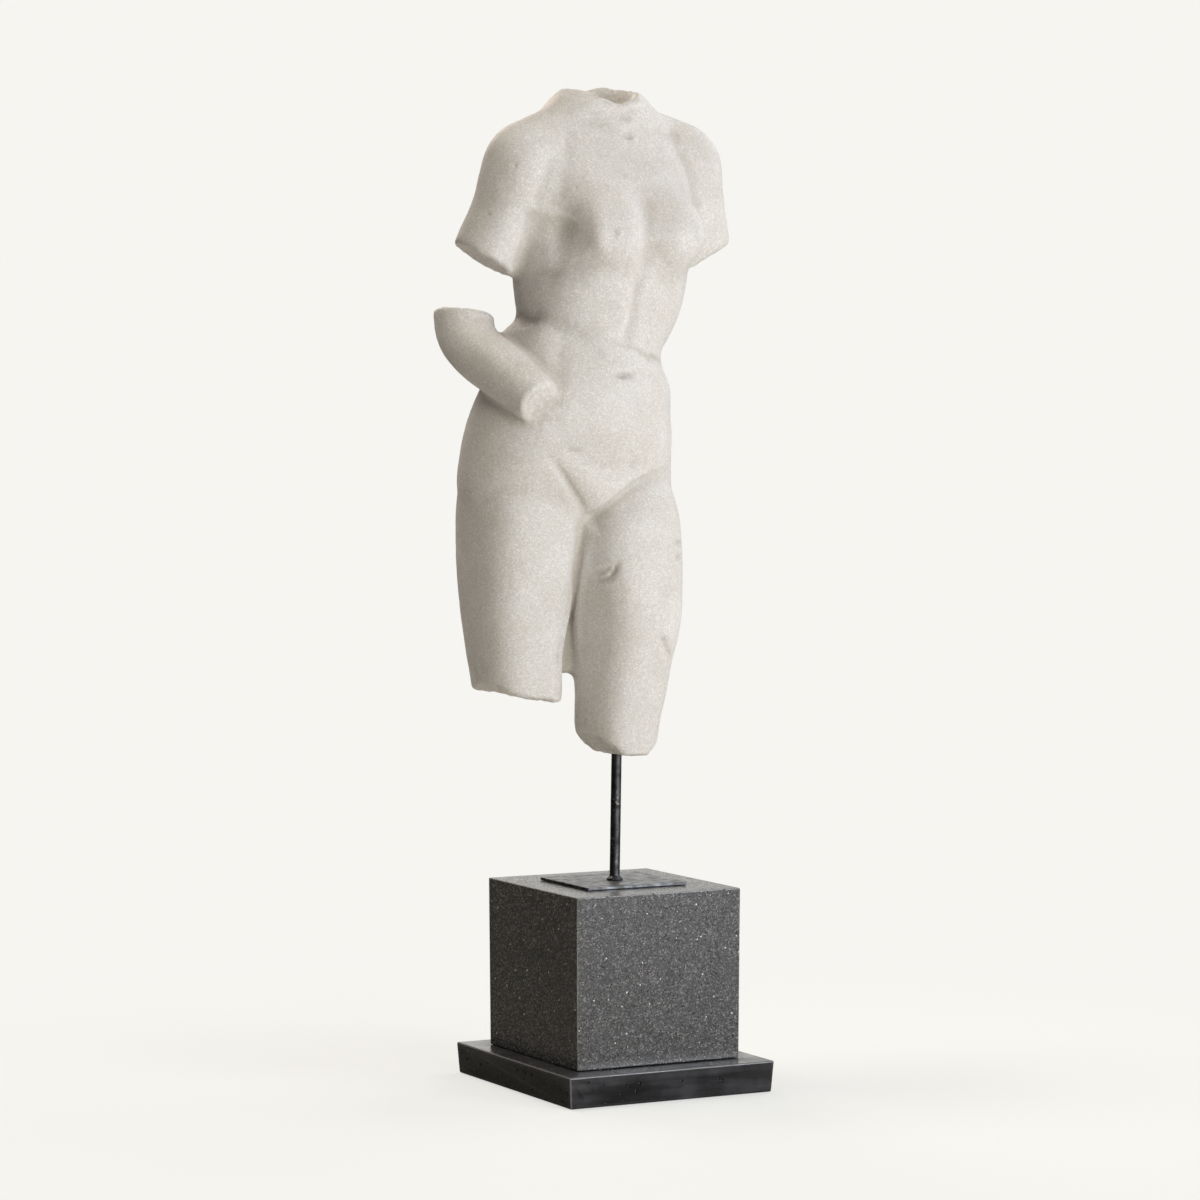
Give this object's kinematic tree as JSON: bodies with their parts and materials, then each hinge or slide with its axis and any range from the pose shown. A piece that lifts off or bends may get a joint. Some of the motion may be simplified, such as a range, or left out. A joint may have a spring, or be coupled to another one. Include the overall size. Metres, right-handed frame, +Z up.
{
  "type": "resin bust",
  "caption": "Headless marble-look torso with broken limbs, held by a steel rod and plate on a black block that stands on a wider slab.",
  "frame": {"origin": "centre of the base slab's underside", "axes": "+Z up; -Y is the plinth's front face and the figure faces it; +X is to the viewer's right"},
  "size_m": [0.2516, 0.1928, 0.7642],
  "materials": {
    "marble_resin": "cast marble-look resin with white flecks, honed",
    "rod_steel": "dark bare steel with a weld bead",
    "plate_steel": "dark mottled steel",
    "block_resin": "black granular cast resin",
    "slab_resin": "smooth satin black with a glossy top"
  },
  "bodies": {
    "root": {"torso": "marble_resin", "rod": "rod_steel", "mounting_plate": "plate_steel", "plinth_block": "block_resin", "base_slab": "slab_resin"}
  },
  "joints": []
}
